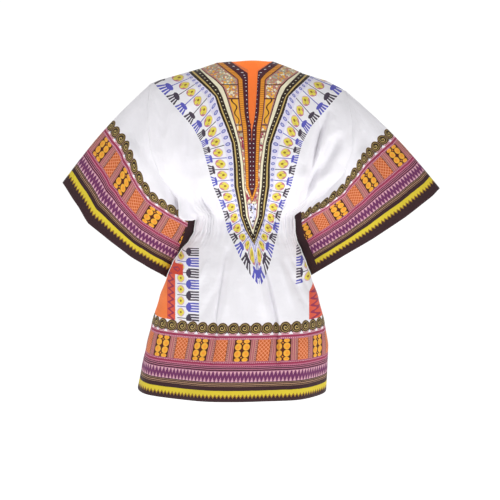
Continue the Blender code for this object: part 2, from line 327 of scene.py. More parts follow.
def bodyDepth(share, spread, x, drop, front):
    slopeFade = 1 - ease(*body["shoulderFade"], drop)
    below = drop + mix(body["neckHeight"], shoulderHeight(x), slopeFade)
    if not front:
        hollow = (body["backNeckRise"] + body["backNeckHollow"]) * neckArc(x) ** body["hollowRoundness"]
        below += hollow * (1 - ease(-body["backNeckRise"], body["backNeckEnd"], drop))
    underarm, reach = body["underarm"], body["shoulderReach"]
    low = ease(underarm - body["chestEnd"], underarm, drop)
    fullness = mix(body["chestFullness"], body["sideFullness"], low)
    fullness = mix(body["shoulderFullness"], fullness, ease(0, reach, below))
    roundShare = max(1 - (1 - spread) ** 2, 0.0) ** fullness
    soft = ease(*body["softReach"], below) * (1 - ease(underarm - 50, underarm, drop))
    soft *= body["seamSoftness"]
    roundShare = mix(roundShare, ease(0.0, 0.9, spread) ** body["softRoundness"], soft)
    tip = body["tipLeft"] if share <= 0.5 else body["tipRight"]
    armholeShare = min(max((drop - tip) / (underarm - tip), 0.0), 1.0)
    start = min(max(below / (underarm - tip), 0.0), 1.0)
    armholeShare = mix(start, armholeShare, ease(reach / 3, reach * 1.5, below))
    bulge = body["frontBulge"] if front else body["backBulge"]
    bulge *= math.sin(math.pi * armholeShare) ** body["bulgeRoundness"]
    out = mix(bulge, readTable(body["profile"], below, 1 if front else 2), roundShare)
    return out + bodyRelief(share, x, drop, front)


def bodyRelief(share, x, drop, front):
    still = math.sin(math.pi * share) ** 0.5 if 0 < share < 1 else 0.0
    sway = noise.noise(Vector((share * 9, drop * 0.006, 3.0 if front else 8.0)))
    waves = 0.0
    for count, wander, weight in body["gathers"]:
        waves += math.sin(2 * math.pi * (share * count + sway * wander)) * weight
    sides = mix(0.55, 1.0, abs(share - 0.5) * 2)
    uneven = mix(0.75, 1.15, noise.noise(Vector((share * 23, 0, 1))) + 0.5)
    near = hump(drop, body["waist"], body["gatherReach"]) * uneven
    out = body["gatherDepth"] * near * waves * sides
    skirt = ease(body["waist"], body["hemLeft"], drop)
    for place, width, height, lean in body["frontFolds"] if front else body["backFolds"]:
        out += height * skirt * still * hump(share, place - lean * (1 - skirt), width)
    chest = ease(*body["chestReach"], drop) * (1 - ease(body["underarm"] - 60, body["underarm"], drop))
    for place, width, height, lean in body["chestFolds"]:
        out += height * chest * still * hump(share, place + lean * chest, width)
    creases = frontCreases if front else backCreases
    edge = ease(0.0, 0.04, share) * ease(0.0, 0.04, 1 - share)
    out += creaseDepth(creases, x, drop, 1.035 if front else 1.0) * edge
    depth, wide, tall = body["unevenness"]
    out += depth * noise.noise(Vector((x * wide, drop * tall, 5.0 if front else 11.0))) * edge
    return out


def hemDrop(share, front):
    dip = body["hemFrontDip"] if front else body["hemBackDip"]
    bow = max(math.sin(math.pi * share), 0.0) ** body["hemRoundness"]
    return mix(body["hemLeft"], body["hemRight"], share) + dip * bow


def bodyPoint(share, row, front, leftHalf=True):
    yoke, lower = body["yokeRows"], body["lowerRows"]
    if row <= yoke:
        top = -topHeight(acrossBody(share, body["tipLeft"], front)[0], front, leftHalf)
        drop = mix(top, body["slitEnd"], (row / yoke) ** body["rowCrowding"])
    else:
        drop = mix(body["slitEnd"], body["hemLeft"], (row - yoke) / lower)
        give = (hemDrop(share, front) - body["hemLeft"]) / (body["hemLeft"] - body["waist"])
        drop += max(drop - body["waist"], 0) * give
    x, spread = acrossBody(share, drop, front)
    if share == 0.5 and not leftHalf:
        x = 2 * readTable(body["middle"], drop, 1) - x
    out = max(bodyDepth(share, spread, x, drop, front), body["leastDepth"])
    place, width, level, height = body["pouch"]
    if front and share < place + width * 3:
        full = hump(share, place, width) * hump(drop, level, height)
        full *= (1 - ease(*body["pouchEnd"], drop)) * ease(0.0, 0.02, share)
        x += body["pouchMove"][0] * full
        out += body["pouchMove"][1] * full
        drop += body["pouchMove"][2] * full
    return Vector((x, -out if front else out, -drop))


# The printed neck ornament, half of it: height in the view, then how far out from the
# axis each band ends: cut edge, dark, gold, panels, cream, dotted, gold line, drops,
# flowers, combs. All in pixels of the view.
ornament = {
    "bands": (
        (55, 30, 38, 46, 67, 71, 78, 85, 92, 112, 138),
        (62, 19.5, 27.5, 35.9, 56.6, 60, 67, 72.5, 80, 98, 122),
        (73, 3.5, 12.8, 21.8, 45.0, 48.1, 55, 61.5, 68.5, 86.5, 110),
        (79, 3.4, 8.2, 13.9, 35.7, 42.5, 48.5, 54.8, 63, 81.5, 101),
        (87, 3.4, 7.7, 13.5, 27.5, 34.7, 40.5, 45.9, 55.5, 75.5, 94.5),
        (96, 3.2, 7.1, 13.3, 24.2, 29.9, 33.6, 36.5, 46.5, 67.5, 86),
        (112, 2.8, 6.2, 11.9, 19.5, 24.5, 27.9, 31.7, 41.5, 52.5, 72),
        (127, 1.0, 4.0, 9.7, 15.4, 18.7, 22, 25.5, 34.5, 47.5, 59),
        (143, 0, 3.6, 8.0, 11.3, 14.3, 16.5, 19.8, 29.3, 42.8, 50.5),
        (165, 0, 2.9, 6.9, 8.0, 11.3, 14.3, 17.9, 24.5, 37.7, 44.5),
        (186, 0, 2.8, 6.4, 7.2, 9.8, 13.6, 17.6, 22.3, 33.5, 39.0),
        (203, -3, -2, -0.5, 5.4, 7.4, 11.1, 14.4, 17.6, 26.8, 32.2),
        (216, -3, -2, -1, 4.0, 6.5, 10.0, 12.2, 14.8, 22.4, 28.0),
        (229, -5, -4, -3, 0, 1.8, 5.5, 7.8, 11.5, 19.7, 26.0),
        (243, -8, -7, -6, -4, -2.5, 0, 0.6, 4.0, 11.5, 20.8),
        (259, -14, -12, -10, -8.5, -7, -4, -3, -1, 6.0, 15.3),
        (275, -20, -18, -16, -14, -12, -9, -8, -6, -2, 8.0),
        (287, -24, -22, -20, -18, -16, -14, -12, -10, -6, 0.0),
        (300, -30, -28, -26, -24, -22, -20, -18, -16, -12, -6),
    ),
    "flowerBand": 25.0,
    "combBand": 30.0,
    "combStretch": 1.1,
    # the back's ornament sits a little higher, and its orange ground is wider
    "backShift": 1.5,
    "backGround": 4.0,
    "backGroundEnd": (120, 150),
    "axis": ((62, 251.5), (186, 252), (230, 252.7), (259, 256), (287, 260)),
    # rungs from the inner bands out to the comb tips, and their spacing in pixels
    "rungs": (
        ((199, 52), (160, 66)),
        ((190, 73), (150, 85)),
        ((197, 79), (160, 100)),
        ((204.3, 84.3), (175, 110)),
        ((212.3, 91), (188, 119)),
        ((217, 103), (196.5, 129)),
        ((224, 121), (201.5, 139.5)),
        ((230, 138), (204.5, 148)),
        ((232.8, 154), (206, 156)),
        ((233.6, 165), (207.9, 165.5)),
        ((234, 186), (213, 188)),
        ((238, 205), (220.7, 211)),
        ((241.5, 219), (225.5, 229)),
        ((246, 231), (230, 243)),
        ((250, 238.5), (239, 257)),
        ((252, 242), (249, 272)),
        ((253.5, 243), (262, 288)),
    ),
    "spacing": (
        16.0, 13.5, 13.5, 13.0, 13.0, 15.2, 13.8, 12.2,
        10.1, 22.1, 21.8, 16.5, 13.7, 12.7, 10.8, 10.1,
    ),
}


def bandPlace(fromAxis, down):  # band number and the share of the way across it
    edges = [readStraight(ornament["bands"], down, column) for column in range(1, 11)]
    bands = ornament["bands"]
    slope = (readStraight(bands, down + 6, 8) - readStraight(bands, down - 6, 8)) / 12
    square = pixel / math.hypot(1, slope)
    if fromAxis <= edges[0]:
        return max((fromAxis - edges[0]) * 0.1, -1.0)
    for number, (inner, outer) in enumerate(zip(edges, edges[1:])):
        if fromAxis < outer:
            share = (fromAxis - inner) / (outer - inner)
            if number == 7:
                share = 0.5 + (share - 0.5) * (outer - inner) * square / ornament["flowerBand"]
            if number == 8:
                reach = min(ornament["combBand"], (outer - inner) * square * ornament["combStretch"])
                share = 1 - (outer - fromAxis) * square / reach
            return number + min(max(share, 0.0), 1.0)
    return min(9 + (fromAxis - edges[-1]) * square / ornament["combBand"], 12.0)


def rungPlace(across, down):  # millimetres along the ornament, counted from the shoulder
    run = 0.0
    rungs = ornament["rungs"]
    sides = []
    for inner, outer in rungs:
        step = (outer[0] - inner[0], outer[1] - inner[1])
        side = step[0] * (down - inner[1]) - step[1] * (across - inner[0])
        sides.append(-side / math.hypot(*step))
    for index, spacing in enumerate(ornament["spacing"]):
        if sides[index + 1] < 0 or index == len(rungs) - 2:
            gap = sides[index] - sides[index + 1]
            share = sides[index] / gap if abs(gap) > 1e-6 else 0.0
            return (run + spacing * min(max(share, -1.0), 2.0)) * pixel
        run += spacing
    return run * pixel


def innerRuns():  # length along the ornament's inner bands at each row of the table
    total, runs = 0.0, [(ornament["bands"][0][0], 0.0)]
    for upper, lower in zip(ornament["bands"], ornament["bands"][1:]):
        total += math.hypot(lower[0] - upper[0], lower[4] - upper[4]) * pixel
        runs.append((lower[0], total))
    return runs


innerTable = innerRuns()


def printPlace(point, front):  # band, length along inner bands and along the outer ones
    across, down = viewPlace(point.x, -point.z, nearnessAt(point, front))
    axis = readStraight(ornament["axis"], down, 1)
    fromAxis = abs(across - axis)
    if not front:
        down += ornament["backShift"]
        fromAxis -= ornament["backGround"] * (1 - ease(*ornament["backGroundEnd"], down))
    band = bandPlace(fromAxis, down)
    if front:
        band = max(band, 0.0)
    return band, readStraight(innerTable, down, 1), rungPlace(axis - fromAxis, down)


# Hip strips: pixels across the view, and how far into the strip that lies in millimetres
strips = {
    "left": (
        (150, 0), (167, 41), (175, 55), (177, 56),
        (184.5, 76), (186, 79), (199.5, 104), (215, 130),
    ),
    "rightHigh": ((286, 130), (296, 104), (303, 79), (304, 76), (312, 56), (316, 50)),
    "rightLow": ((240, 130), (276, 112), (309, 55), (322, 41), (330, 38)),
    "change": (282, 292),
}


def stripPlace(point, front, leftHalf):
    across, down = viewPlace(point.x, -point.z, nearnessAt(point, front))
    if leftHalf:
        return readStraight(strips["left"], across, 1)
    high, low = [readStraight(strips[key], across, 1) for key in ("rightHigh", "rightLow")]
    return mix(high, low, ease(*strips["change"], down))


def gridMesh(name, columns, rows, closed=False):
    mesh = bpy.data.meshes.new(name)
    grid = bmesh.new()
    lines = columns if closed else columns + 1
    verts = [[grid.verts.new((line, row, 0)) for row in range(rows + 1)] for line in range(lines)]
    for column in range(columns):
        onward = verts[(column + 1) % len(verts)]
        for row in range(rows):
            grid.faces.new((verts[column][row], onward[row], onward[row + 1], verts[column][row + 1]))
    return mesh, grid


def lengthAlong(points):
    total, lengths = 0.0, [0.0]
    for one, two in zip(points, points[1:]):
        total += (two - one).length
        lengths.append(total)
    return lengths


cloth = {"thickness": 0.9}


def finishCloth(name, mesh, grid, where, flip, material):
    for vert, place in where.items():
        vert.co = place * mm
    if flip:
        bmesh.ops.reverse_faces(grid, faces=grid.faces)
    grid.to_mesh(mesh)
    grid.free()
    piece = bpy.data.objects.new(name, mesh)
    bpy.context.scene.collection.objects.link(piece)
    mesh.materials.append(material)
    mesh.shade_smooth()
    shell = piece.modifiers.new("Thickness", "SOLIDIFY")
    shell.thickness = cloth["thickness"] * mm
    shell.offset = 0
    bpy.ops.object.select_all(action="DESELECT")
    bpy.context.view_layer.objects.active = piece
    piece.select_set(True)
    bpy.ops.object.modifier_apply(modifier=shell.name)
    piece.select_set(False)
    return piece


def makePanel(name, node, front, material):
    columns, rows = body["columns"], body["yokeRows"] + body["lowerRows"]
    half = columns // 2
    places = {}
    for column in range(columns + 1):
        for row in range(rows + 1):
            places[column, row] = bodyPoint(column / columns, row, front, column <= half)
    right = [bodyPoint(0.5, row, front, False) for row in range(rows + 1)]
    mesh, grid = gridMesh(name, columns, rows)
    above = {}
    for column in range(columns + 1):
        run = lengthAlong([places[column, row] for row in range(rows, -1, -1)])
        for row in range(rows + 1):
            above[column, row] = run[rows - row]
    across = {}
    for row in range(rows + 1):
        run = lengthAlong([places[column, row] for column in range(columns + 1)])
        for column in range(columns + 1):
            across[column, row] = run[column] - run[half]
    clothMap = grid.loops.layers.uv.new("cloth")
    bandMap = grid.loops.layers.uv.new("band")
    rungMap = grid.loops.layers.uv.new("rung")
    prints = {key: printPlace(place, front) for key, place in places.items()}
    for face in grid.faces:
        for loop in face.loops:
            column, row = round(loop.vert.co.x), round(loop.vert.co.y)
            u = across[column, row]
            band, inner, outer = prints[column, row]
            loop[clothMap].uv = (u * mm, above[column, row] * mm)
            loop[bandMap].uv = (band, inner * mm)
            side = stripPlace(places[column, row], front, column < half)
            loop[rungMap].uv = (outer * mm, side * mm)
    if front:
        split = [
            edge
            for edge in grid.edges
            if all(round(vert.co.x) == half and round(vert.co.y) <= body["yokeRows"] for vert in edge.verts)
        ]
        bmesh.ops.split_edges(grid, edges=split)
    where = {}
    for vert in grid.verts:
        column, row = round(vert.co.x), round(vert.co.y)
        place = places[column, row]
        if front and column == half and row < body["yokeRows"]:
            centres = [face.calc_center_median() for face in vert.link_faces]
            middle = sum(centres, Vector()) / len(centres)
            place = right[row] if middle.x > half else place
        where[vert] = place
    piece = finishCloth(name, mesh, grid, where, front, material)
    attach(piece, "root")
    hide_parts(node)
    print(name, "made")
    return piece


sleeves = {
    "cuffHalfDepth": 46.0,
    "crown": 9.0,
    # soft folds: depth, how many round half the sleeve, where they start, and their lean
    "folds": (5.0, 2.6, 0.12, 0.25),
    "whiteShare": 0.433,
    "pouchShare": 0.26,
    "pouchDepth": 13.0,
    "pouchStart": 0.35,
    # place and width of the pouch, down the sleeve's side and along the arm
    "pouch": (0.83, 0.1, 0.62, 0.16),
    "unevenness": (1.4, 0.015),
    "lowerEdge": 0.7,
    "clear": 2.2,
    "steps": 76,
    # how far the left print is stretched along the arm, from the top of the sleeve down
    "leftStretch": (
        (0, 1.0), (0.15, 0.97), (0.3, 0.93), (0.42, 0.97), (0.51, 1.05), (0.7, 1.19), (1, 1.2),
    ),
    "borderBottom": -11.0,
    "borderTop": 171.0,
    "leftScale": 1.055,
    "rightScale": 1.005,
    "printShift": 36.0,
    "stripWidth": 24.0,
    # top corner and low corner of each cuff, and how far its edge swings out between them
    "left": (-432, 277, -200, 495),
    "right": (437, 290, 142, 490),
    "leftBow": ((0, 0), (0.19, 12), (0.35, 25), (0.51, 21), (0.72, 15), (0.85, 9), (1, 0)),
    "rightBow": ((0, 0), (0.08, 5), (0.30, 9), (0.54, 8), (0.78, 3), (1, 0)),
}
sleeveCreases = {
    True: (
        (((148, 88), (144, 130), (148, 176)), 9.0, -4.0),
        (((128, 100), (132, 132), (146, 172)), 7.0, -4.0),
        (((112, 128), (134, 150), (158, 186)), 6.0, 4.0),
        (((176, 196), (188, 206), (198, 204)), 4.0, -4.0),
    ),
    False: (
        (((352, 106), (353, 132), (348, 158)), 5.0, 5.0),
        (((366, 128), (364, 140), (358, 152)), 6.0, -6.0),
        (((340, 150), (326, 172), (312, 194)), 4.5, -6.0),
        (((346, 158), (334, 178), (320, 196)), 5.0, 5.0),
        (((385, 118), (378, 140), (366, 166)), 7.0, -4.0),
    ),
}


def cuffPoint(left, share, front):
    topX, topDrop, lowX, lowDrop = sleeves["left" if left else "right"]
    width, height = abs(lowX - topX), lowDrop - topDrop
    bow = readTable(sleeves["leftBow" if left else "rightBow"], share, 1) / math.hypot(width, height)
    x = mix(topX, lowX, share) + (-1 if left else 1) * bow * height
    drop = mix(topDrop, lowDrop, share) + bow * width
    out = sleeves["cuffHalfDepth"] * max(math.sin(math.pi * share), 0.0) ** 0.75
    return Vector((x, -out if front else out, -drop))


def sleeveShare(step, share):
    white, pouch = sleeves["whiteShare"], sleeves["pouchShare"]
    pouched = step / white * pouch
    if step > white:
        pouched = mix(pouch, 1.0, (step - white) / (1 - white))
    return mix(step, pouched, ease(sleeves["pouchStart"], 0.9, share))


def sleevePoint(start, lowest, step, share, front, left):
    point = start.lerp(cuffPoint(left, share, front), sleeveShare(step, share))
    topX, topDrop = sleeves["left" if left else "right"][:2]
    chord = Vector((topX, 0, -topDrop)).normalized()
    crown = Vector((chord.z, 0, -chord.x)) * (1 if left else -1)
    if crown.z < 0:
        crown.negate()
    point += crown * sleeves["crown"] * math.sin(math.pi * step) * (1 - ease(0.0, 0.45, share))
    side = -1 if front else 1
    full = math.sin(math.pi * share) ** 0.7 if 0 < share < 1 else 0.0
    depth, count, begin, lean = sleeves["folds"]
    fold = math.sin(2 * math.pi * (count * share + begin - lean * step))
    point.y += side * depth * fold * full * math.sin(math.pi * min(step * 1.15, 1.0))
    low, tall, part, wide = sleeves["pouch"]
    pouch = hump(share, low, tall) * hump(step, sleeves["whiteShare"] * part, wide)
    point.y += side * sleeves["pouchDepth"] * pouch
    edge = ease(0.0, 0.12, step) * ease(0.0, 0.05, share) * ease(0.0, 0.05, 1 - share)
    point.y += side * edge * creaseDepth(sleeveCreases[left], point.x, -point.z, 1.02)
    rough, pace = sleeves["unevenness"]
    uneven = noise.noise(Vector((point.x * pace, point.z * pace, 2.0 if front else 7.0)))
    point.y += side * edge * rough * uneven
    under = lowest.lerp(cuffPoint(left, 1.0, True), sleeveShare(step, 1.0))
    seam = readTable(body["edges"], -under.z, 1 if left else 2)
    shift = (seam - sleeves["clear"] if left else seam + sleeves["clear"]) - under.x
    point.x += shift * ease(0.0, 0.1, step) * ease(sleeves["lowerEdge"], 1.0, share)
    return point


def makeSleeve(name, node, left, material):
    edge, last = (0.0 if left else 1.0), body["yokeRows"]
    while bodyPoint(edge, last, True, left).z > -body["underarm"] + 0.5:
        last += 1
    ring = [(row / last, True, bodyPoint(edge, row, True, left)) for row in range(last + 1)]
    ring += [(row / last, False, bodyPoint(edge, row, False, left)) for row in range(last - 1, 0, -1)]
    for place in (0, last):
        ring[place][2].y = 0.0
    lowest = ring[last][2]
    steps = sleeves["steps"]
    mesh, grid = gridMesh(name, len(ring), steps, True)
    places = {}
    for number, (share, front, start) in enumerate(ring):
        places[number, 0] = start
        for step in range(1, steps + 1):
            places[number, step] = sleevePoint(start, lowest, step / steps, share, front, left)
    fromCuff = {}
    for number, (share, front, start) in enumerate(ring):
        run = lengthAlong([places[number, step] for step in range(steps, -1, -1)])
        for step in range(steps + 1):
            wide = (sleeves["borderTop"] - sleeves["borderBottom"]) / run[-1]
            stretch = readTable(sleeves["leftStretch"], share, 1) if left else (1 + wide ** 5) ** 0.2
            fromCuff[number, step] = run[steps - step] * stretch + sleeves["borderBottom"]
    clothMap = grid.loops.layers.uv.new("cloth")
    sideMap = grid.loops.layers.uv.new("side")
    around = {}
    whole = len(ring)
    for step in range(steps + 1):
        ahead = lengthAlong([places[number, step] for number in range(last + 1)])
        behind = lengthAlong([places[number % whole, step] for number in range(whole, last - 1, -1)])
        for number in range(whole + 1):
            run = ahead if number <= last else behind
            count = number if number <= last else whole - number
            around[number, step] = (run[count] if number <= last else -run[count], run[-1] - run[count])
    for face in grid.faces:
        numbers = [round(vert.co.x) for vert in face.verts]
        wraps = max(numbers) - min(numbers) > 1
        for loop in face.loops:
            number, step = round(loop.vert.co.x), round(loop.vert.co.y)
            behindFace = min(numbers) >= last or wraps
            u, fromLow = around[number, step]
            if behindFace and number == last:
                u = -u
            u = u / sleeves["leftScale" if left else "rightScale"] - sleeves["printShift"]
            loop[clothMap].uv = (u * mm, fromCuff[number, step] * mm)
            taper = sleeves["stripWidth"] * (1 - ease(45, 135, fromCuff[number, step])) if left else 0.0
            loop[sideMap].uv = ((fromLow + taper) * mm, 0.0)
    where = {vert: places[round(vert.co.x), round(vert.co.y)] for vert in grid.verts}
    piece = finishCloth(name, mesh, grid, where, not left, material)
    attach(piece, "root")
    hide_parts(node)
    print(name, "made")
    return piece


# Camera and lights: straight on at the shirt's middle, as in the photograph
cameraData = bpy.data.cameras.new("camera")
cameraData.lens = view["lens"]
camera = bpy.data.objects.new("camera", cameraData)
camera.location = (0, -view["distance"] * mm, -view["drop"] * mm)
camera.rotation_euler = (math.radians(90), 0, 0)
bpy.context.scene.collection.objects.link(camera)
bpy.context.scene.camera = camera

# place, size across and power of each lamp, in metres and watts
lights = {
    "key": ((-2.8, -1.3, 0.2), 0.9, 22.0),
    "fill": ((2.1, -2.4, -0.5), 1.8, 29.5),
    "top": ((0.0, 0.2, 1.9), 1.6, 12.0),
    "back": ((0.6, 2.6, 0.6), 2.6, 22.0),
}
for name, (place, size, power) in lights.items():
    lampData = bpy.data.lights.new(name, "AREA")
    lampData.shape = "DISK"
    lampData.size = size
    lampData.energy = power
    lamp = bpy.data.objects.new(name, lampData)
    lamp.location = place
    aim = Vector((0, 0, -0.4)) - Vector(place)
    lamp.rotation_euler = aim.to_track_quat("-Z", "Y").to_euler()
    bpy.context.scene.collection.objects.link(lamp)

# The backdrop is plain white to the camera, and a softer grey as light
backdrop = {"light": 0.26, "seen": 1.05}
world = bpy.data.worlds.new("studio")
world.use_nodes = True
sky = world.node_tree.nodes["Background"]
sky.inputs["Color"].default_value = (1.0, 1.0, 1.0, 1.0)
paths = world.node_tree.nodes.new("ShaderNodeLightPath")
amount = world.node_tree.nodes.new("ShaderNodeMapRange")
amount.inputs["To Min"].default_value = backdrop["light"]
amount.inputs["To Max"].default_value = backdrop["seen"]
world.node_tree.links.new(paths.outputs["Is Camera Ray"], amount.inputs["Value"])
world.node_tree.links.new(amount.outputs["Result"], sky.inputs["Strength"])
bpy.context.scene.world = world
bpy.context.scene.view_settings.view_transform = "Standard"
print("camera and lights made")

tree = None  # the material in hand


def add(kind, *inputs, **settings):  # a node's kind, and its operation where it has one
    words = kind.split()
    made = tree.nodes.new("ShaderNode" + words[0])
    if len(words) > 1:
        made.operation = words[1]
    stops = settings.pop("stops", None)
    out = settings.pop("out", 0)
    sockets = settings.pop("sockets", {})
    for key, value in settings.items():
        setattr(made, key, value)
    for key, value in [*enumerate(inputs), *sockets.items()]:
        if isinstance(value, bpy.types.NodeSocket):
            tree.links.new(value, made.inputs[key])
        elif value is not None:
            made.inputs[key].default_value = value
    if stops:
        made.color_ramp.interpolation = "CONSTANT"
        ramp = made.color_ramp.elements
        ramp[0].position, ramp[0].color = stops[0]
        while len(ramp) > 1:
            ramp.remove(ramp[1])
        for position, tint in stops[1:]:
            ramp.new(position).color = tint
    return made.outputs[out]


def colour(code):  # sRGB hex to linear
    values = [int(code[place:place + 2], 16) / 255 for place in (1, 3, 5)]
    return tuple(v / 12.92 if v <= 0.04045 else ((v + 0.055) / 1.055) ** 2.4 for v in values) + (1.0,)


inks = {
    "white": "#F3F1F6",
    "orange": "#FF8440",
    "yellow": "#DCC62E",
    "lemon": "#EADB55",
    "rust": "#B4621C",
    "ochre": "#9C741E",
    "maroon": "#321319",
    "garnet": "#4C1024",
    "wine": "#9C3152",
    "purple": "#6A2A5C",
    "plum": "#96486E",
    "pink": "#C47490",
    "pale": "#DFB0BC",
    "gold": "#F09C2C",
    "amber": "#F4B036",
    "brass": "#A0864A",
    "straw": "#CDB16A",
    "peach": "#EAA274",
    "coral": "#E25A40",
    "cream": "#F3EACB",
    "blue": "#5A5ABC",
    "iris": "#7476C0",
    "olive": "#2B1A0C",
    "bark": "#4E180A",
    "grey": "#453A4A",
    "slate": "#B9BCE0",
    "tan": "#BC9470",
    "moss": "#B9B49C",
    "rose": "#BF8078",
    "brick": "#D05E2C",
    "red": "#D8442C",
    "lavender": "#E6E1F5",
}
inks = {name: colour(code) for name, code in inks.items()}


def plus(one, two):
    return add("Math ADD", one, two)


def minus(one, two):
    return add("Math SUBTRACT", one, two)


def times(one, two):
    return add("Math MULTIPLY", one, two)


def over(one, two):
    return add("Math DIVIDE", one, two)


def lessThan(value, limit):
    return add("Math LESS_THAN", value, limit)


def moreThan(value, limit):
    return add("Math GREATER_THAN", value, limit)


def layer(under, mask, ink):
    return add("Mix", sockets={0: mask, 6: under, 7: inks.get(ink, ink)}, data_type="RGBA", out=2)


def both(*masks):
    result = masks[0]
    for mask in masks[1:]:
        result = times(result, mask)
    return result


def squared(value):
    return add("Math POWER", value, 2.0)


def oval(du, dv, ru, rv):  # inside an oval about a place
    return lessThan(plus(squared(over(du, ru)), squared(over(dv, rv))), 1.0)


def within(value, low, high):
    return add("Math COMPARE", value, (low + high) / 2, (high - low) / 2)


def away(value, place):  # plain distance from a place
    return add("Math ABSOLUTE", minus(value, place))


def repeat(value, pitch):  # distance from the nearest of a row of places
    return add("Math PINGPONG", value, pitch / 2)


def striped(value, table, low, spread):  # inks by where each one starts
    stops = [((place - low) / spread, inks[ink]) for place, ink in table]
    return add("ValToRGB", over(minus(value, low), spread), stops=stops)


def combInk(run):  # combs 26 mm apart, blue and grey by turns
    blue = lessThan(add("Math WRAP", plus(run, 13.0), 52.0, 0.0), 26.0)
    return layer(inks["grey"], blue, "blue")


# Border, in millimetres up from the hem: where each stripe starts, and its ink
borderBands = (
    (-11, "maroon"),
    (5.5, "yellow"),
    (24.5, "maroon"),
    (33.5, "tan"),
    (34.7, "maroon"),
    (37.0, "tan"),
    (38.2, "maroon"),
    (40.5, "tan"),
    (41.7, "maroon"),
    (43.6, "pale"),
    (67.6, "plum"),
    (69.2, "maroon"),
    (71.4, "pink"),
    (72.8, "maroon"),
    (75.0, "pink"),
    (76.4, "maroon"),
    (78.0, "pink"),
    (81.0, "wine"),
    (86.2, "pale"),
    (87.6, "wine"),
    (89.0, "pink"),
    (140.0, "pale"),
    (141.4, "wine"),
    (147.2, "pale"),
    (148.6, "wine"),
    (150.2, "pale"),
    (152.4, "olive"),
    (169.5, "white"),
)
# Panels across one repeat: distance from the middle of a leaf panel, and its ink
panelStops = (
    (0.0, "bark"),
    (18.6, "rose"),
    (20.2, "wine"),
    (21.6, "rose"),
    (25.2, "wine"),
    (26.6, "rose"),
    (30.0, "bark"),
    (31.6, "rose"),
    (33.2, "bark"),
    (34.6, "brick"),
)
border = {"repeat": 97.5, "shift": 0.5, "roundels": 25.6, "middle": 114.5, "scroll": 164.0}


def printedBorder(u, v):
    shade = striped(v, borderBands, -12.0, 200.0)
    # teeth on the yellow stripe
    tooth = minus(v, times(repeat(u, 8.8), 1.5))
    shade = layer(shade, both(within(v, 5, 24), lessThan(tooth, 10.4)), "ochre")
    shade = layer(shade, both(within(v, 5, 15), lessThan(tooth, 6.8)), "maroon")
    # purple zigzag with plum outlines, then rows of beads
    swing = times(minus(repeat(u, 8.8), 2.2), 3.0)
    fromZig = away(minus(v, swing), 56.0)
    zigzag = within(v, 44.6, 67.2)
    shade = layer(shade, both(zigzag, lessThan(fromZig, 8.6)), "plum")
    shade = layer(shade, both(zigzag, lessThan(fromZig, 6.2)), "purple")
    shade = layer(shade, both(zigzag, within(fromZig, 10.4, 11.6)), "plum")
    for line, ink in ((79.4, "wine"), (86.9, "wine"), (140.7, "wine"), (149.4, "pink")):
        shade = layer(shade, oval(repeat(u, 4.4), away(v, line), 1.3, 0.8), ink)
    # panels: gold leaves on brown, pink strips and an orange lattice, in turn
    cell = repeat(minus(u, border["shift"]), border["repeat"])
    half = border["repeat"] / 2
    panel = striped(cell, panelStops, 0.0, half)
    height = away(v, border["middle"])
    leaves = lessThan(cell, 17.4)
    for du, dv, ru, rv in ((9.0, 8.0, 7.4, 7.8), (8.4, 20.6, 6.6, 4.4)):
        spot = both(leaves, oval(away(cell, du), away(height, dv), ru, rv))
        panel = layer(panel, spot, "amber")
        core = oval(away(cell, du + 1.4), away(height, dv - 0.8), ru * 0.5, rv * 0.5)
        panel = layer(panel, both(leaves, core), "gold")
    diamond = plus(cell, away(height, 15.5))
    panel = layer(panel, lessThan(diamond, 5.4), "bark")
    panel = layer(panel, lessThan(diamond, 2.0), "gold")
    lattice = moreThan(cell, 34.6)
    slopes = [repeat(plus(u, v), 9.0), repeat(minus(u, v), 9.0)]
    for slope in slopes:
        panel = layer(panel, both(lattice, lessThan(slope, 0.75)), "peach")
    hearts = [moreThan(slope, 3.2) for slope in slopes]
    panel = layer(panel, both(lattice, *hearts), "rust")
    dashes = both(lessThan(repeat(v, 4.4), 1.0), within(cell, 28.0, 33.4))
    panel = layer(panel, dashes, "rose")
    shade = layer(shade, within(v, 90.2, 138.8), panel)
    # scroll row: dark roundels, each with a brass ring and a spiral
    du = add("Math WRAP", u, border["roundels"] / 2, -border["roundels"] / 2)
    dv = minus(v, border["scroll"])
    radius = add("Math SQRT", plus(squared(du), squared(dv)))
    turn = over(add("Math ARCTAN2", dv, du), 2 * math.pi)
    row = within(v, 151, 178)
    shade = layer(shade, both(lessThan(radius, 13.0), row), "tan")
    shade = layer(shade, both(lessThan(radius, 12.3), row), "olive")
    shade = layer(shade, within(radius, 8.3, 10.0), "brass")
    spiral = add("Math WRAP", minus(over(radius, 5.0), turn), 1.0, 0.0)
    arm = both(lessThan(spiral, 0.36), lessThan(radius, 6.4))
    shade = layer(shade, arm, "straw")
    corner = minus(away(du, 0.0), times(minus(v, 148.6), 0.8))
    return layer(shade, both(moreThan(corner, 7.4), within(v, 148.9, 155.0)), "white")


# Ornament bands: number of the band where each ink starts
ornamentInks = (
    (-1.0, "orange"),
    (0.0, "garnet"),
    (1.0, "bark"),
    (1.16, "gold"),
    (1.84, "bark"),
    (2.0, "rose"),
    (3.0, "bark"),
    (3.2, "cream"),
    (3.88, "olive"),
    (5.08, "straw"),
    (5.46, "olive"),
    (6.0, "lavender"),
    (6.9, "white"),
)
# Mosaics by where each starts along the panels, and the inks in each
mosaics = (
    (0.0, ("moss", "tan", "cream", "rose", "moss", "amber")),
    (107.0, ("rose", "amber", "cream", "tan")),
    (225.0, ("tan", "rose", "wine", "cream", "moss")),
    (391.0, ("white", "slate", "lavender", "grey", "white")),
)


